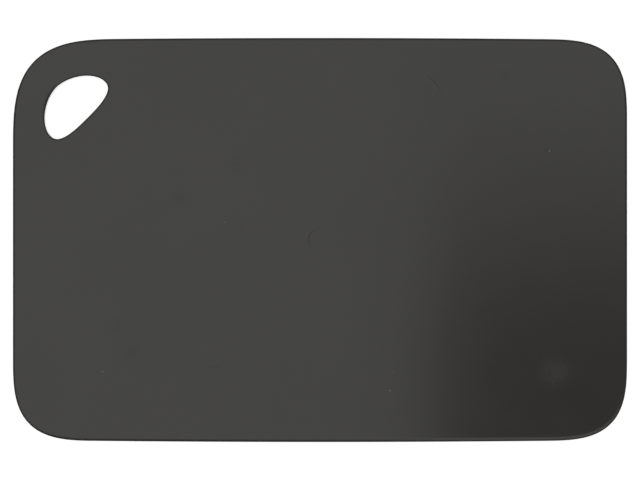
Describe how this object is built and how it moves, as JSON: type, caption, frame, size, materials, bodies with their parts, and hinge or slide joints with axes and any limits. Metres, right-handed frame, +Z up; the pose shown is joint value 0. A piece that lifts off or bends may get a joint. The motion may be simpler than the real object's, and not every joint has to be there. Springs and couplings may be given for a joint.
{
  "type": "flexible cutting mat",
  "caption": "Thin flexible rectangular cutting mat in satin dark grey plastic, with rounded corners and edges and a thumb hole in one corner; its long sides curl up into a chute.",
  "frame": {"origin": "centre of the underside, on the surface that the mat lies on", "axes": "+X along the long sides with the thumb hole at the -X end, +Y across the mat towards the long side beside the thumb hole, +Z up out of the top face"},
  "size_m": [0.38, 0.25, 0.0025],
  "materials": {
    "mat_plastic": "satin"
  },
  "bodies": {
    "back_hand_zone": {"back_hand_zone": "mat_plastic"},
    "bend_band_01": {"bend_band_01": "mat_plastic"},
    "bend_band_02": {"bend_band_02": "mat_plastic"},
    "bend_band_03": {"bend_band_03": "mat_plastic"},
    "bend_band_04": {"bend_band_04": "mat_plastic"},
    "bend_band_05": {"bend_band_05": "mat_plastic"},
    "bend_band_06": {"bend_band_06": "mat_plastic"},
    "bend_band_07": {"bend_band_07": "mat_plastic"},
    "bend_band_08": {"bend_band_08": "mat_plastic"},
    "bend_band_09": {"bend_band_09": "mat_plastic"},
    "bend_band_10": {"bend_band_10": "mat_plastic"},
    "bend_band_11": {"bend_band_11": "mat_plastic"},
    "front_hand_zone": {"front_hand_zone": "mat_plastic"}
  },
  "joints": [
    {"name": "back_curl", "type": "hinge", "parent": "bend_band_06", "child": "bend_band_05", "pos_m": [0, 0.005, 0.00125], "axis": [1, 0, 0], "range_deg": [0, 12.5], "stiffness_Nm_per_rad": 1.5},
    {"name": "back_curl_step_2", "type": "hinge", "parent": "bend_band_05", "child": "bend_band_04", "pos_m": [0, 0.015, 0.00125], "axis": [1, 0, 0], "range_deg": [0, 12.5], "stiffness_Nm_per_rad": 1.5},
    {"name": "back_curl_step_3", "type": "hinge", "parent": "bend_band_04", "child": "bend_band_03", "pos_m": [0, 0.025, 0.00125], "axis": [1, 0, 0], "range_deg": [0, 12.5], "stiffness_Nm_per_rad": 1.5},
    {"name": "back_curl_step_4", "type": "hinge", "parent": "bend_band_03", "child": "bend_band_02", "pos_m": [0, 0.035, 0.00125], "axis": [1, 0, 0], "range_deg": [0, 12.5], "stiffness_Nm_per_rad": 1.5},
    {"name": "back_curl_step_5", "type": "hinge", "parent": "bend_band_02", "child": "bend_band_01", "pos_m": [0, 0.045, 0.00125], "axis": [1, 0, 0], "range_deg": [0, 12.5], "stiffness_Nm_per_rad": 1.5},
    {"name": "back_curl_step_6", "type": "hinge", "parent": "bend_band_01", "child": "back_hand_zone", "pos_m": [0, 0.055, 0.00125], "axis": [1, 0, 0], "range_deg": [0, 12.5], "stiffness_Nm_per_rad": 1.5},
    {"name": "front_curl", "type": "hinge", "parent": "bend_band_06", "child": "bend_band_07", "pos_m": [0, -0.005, 0.00125], "axis": [-1, 0, 0], "range_deg": [0, 12.5], "stiffness_Nm_per_rad": 1.5},
    {"name": "front_curl_step_2", "type": "hinge", "parent": "bend_band_07", "child": "bend_band_08", "pos_m": [0, -0.015, 0.00125], "axis": [-1, 0, 0], "range_deg": [0, 12.5], "stiffness_Nm_per_rad": 1.5},
    {"name": "front_curl_step_3", "type": "hinge", "parent": "bend_band_08", "child": "bend_band_09", "pos_m": [0, -0.025, 0.00125], "axis": [-1, 0, 0], "range_deg": [0, 12.5], "stiffness_Nm_per_rad": 1.5},
    {"name": "front_curl_step_4", "type": "hinge", "parent": "bend_band_09", "child": "bend_band_10", "pos_m": [0, -0.035, 0.00125], "axis": [-1, 0, 0], "range_deg": [0, 12.5], "stiffness_Nm_per_rad": 1.5},
    {"name": "front_curl_step_5", "type": "hinge", "parent": "bend_band_10", "child": "bend_band_11", "pos_m": [0, -0.045, 0.00125], "axis": [-1, 0, 0], "range_deg": [0, 12.5], "stiffness_Nm_per_rad": 1.5},
    {"name": "front_curl_step_6", "type": "hinge", "parent": "bend_band_11", "child": "front_hand_zone", "pos_m": [0, -0.055, 0.00125], "axis": [-1, 0, 0], "range_deg": [0, 12.5], "stiffness_Nm_per_rad": 1.5}
  ],
  "couplings": [
    {"joint": "back_curl_step_2", "follows": "back_curl", "ratio": 1},
    {"joint": "back_curl_step_3", "follows": "back_curl", "ratio": 1},
    {"joint": "back_curl_step_4", "follows": "back_curl", "ratio": 1},
    {"joint": "back_curl_step_5", "follows": "back_curl", "ratio": 1},
    {"joint": "back_curl_step_6", "follows": "back_curl", "ratio": 1},
    {"joint": "front_curl_step_2", "follows": "front_curl", "ratio": 1},
    {"joint": "front_curl_step_3", "follows": "front_curl", "ratio": 1},
    {"joint": "front_curl_step_4", "follows": "front_curl", "ratio": 1},
    {"joint": "front_curl_step_5", "follows": "front_curl", "ratio": 1},
    {"joint": "front_curl_step_6", "follows": "front_curl", "ratio": 1}
  ]
}
